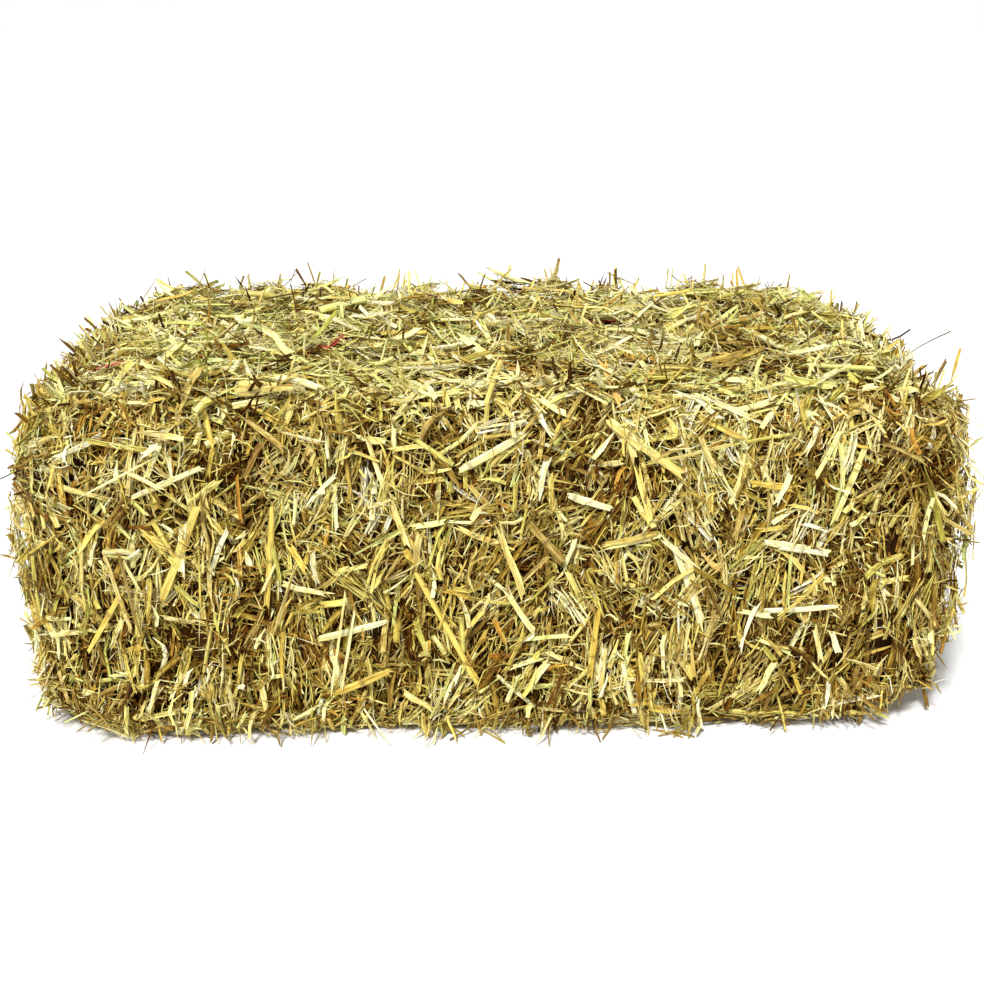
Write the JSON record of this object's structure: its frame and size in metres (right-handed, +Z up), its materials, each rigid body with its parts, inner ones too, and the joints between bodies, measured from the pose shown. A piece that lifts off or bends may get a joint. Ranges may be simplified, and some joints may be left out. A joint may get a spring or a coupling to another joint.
{
  "type": "small square straw bale",
  "caption": "Small square bale of straw: packed flakes along its length, held by loops of baler twine, with loose stalks on the outside. It lies flat on the ground.",
  "frame": {"origin": "centre of the bale's box at the level of the ground that it lies on", "axes": "+X along the bale, the way the flakes are stacked and the twines run; +Y from the front side to the back side; +Z up"},
  "size_m": [0.952, 0.4962, 0.3816],
  "materials": {
    "packed_straw": "rough, fibrous, chopped dry stalks",
    "baler_twine": "matte twisted fibre, brick red",
    "golden_stalk": "satin dry straw",
    "cream_stalk": "satin dry straw",
    "tan_stalk": "satin dry straw"
  },
  "bodies": {
    "root": {"flake_01": "packed_straw", "flake_02": "packed_straw", "flake_03": "packed_straw", "flake_04": "packed_straw", "flake_05": "packed_straw", "flake_06": "packed_straw", "flake_07": "packed_straw", "flake_08": "packed_straw", "flake_09": "packed_straw", "flake_10": "packed_straw", "flake_11": "packed_straw", "stalk_back_01": "golden_stalk", "stalk_back_02": "cream_stalk", "stalk_back_03": "golden_stalk", "stalk_back_04": "tan_stalk", "stalk_front_01": "cream_stalk", "stalk_front_02": "golden_stalk", "stalk_front_03": "golden_stalk", "stalk_front_04": "golden_stalk", "stalk_front_05": "cream_stalk", "stalk_front_06": "golden_stalk", "stalk_front_07": "cream_stalk", "stalk_front_08": "cream_stalk", "stalk_front_09": "cream_stalk", "stalk_front_10": "tan_stalk", "stalk_front_11": "golden_stalk", "stalk_front_12": "cream_stalk", "stalk_front_13": "golden_stalk", "stalk_front_14": "golden_stalk", "stalk_front_15": "cream_stalk", "stalk_front_16": "golden_stalk", "stalk_front_17": "tan_stalk", "stalk_front_18": "cream_stalk", "stalk_left_01": "golden_stalk", "stalk_left_02": "cream_stalk", "stalk_right_01": "golden_stalk", "stalk_right_02": "cream_stalk", "stalk_top_01": "golden_stalk", "stalk_top_02": "golden_stalk", "stalk_top_03": "cream_stalk", "stalk_top_04": "golden_stalk", "stalk_top_05": "cream_stalk", "stalk_top_06": "cream_stalk", "stalk_top_07": "tan_stalk", "twine_far": "baler_twine", "twine_near": "baler_twine"}
  },
  "joints": []
}
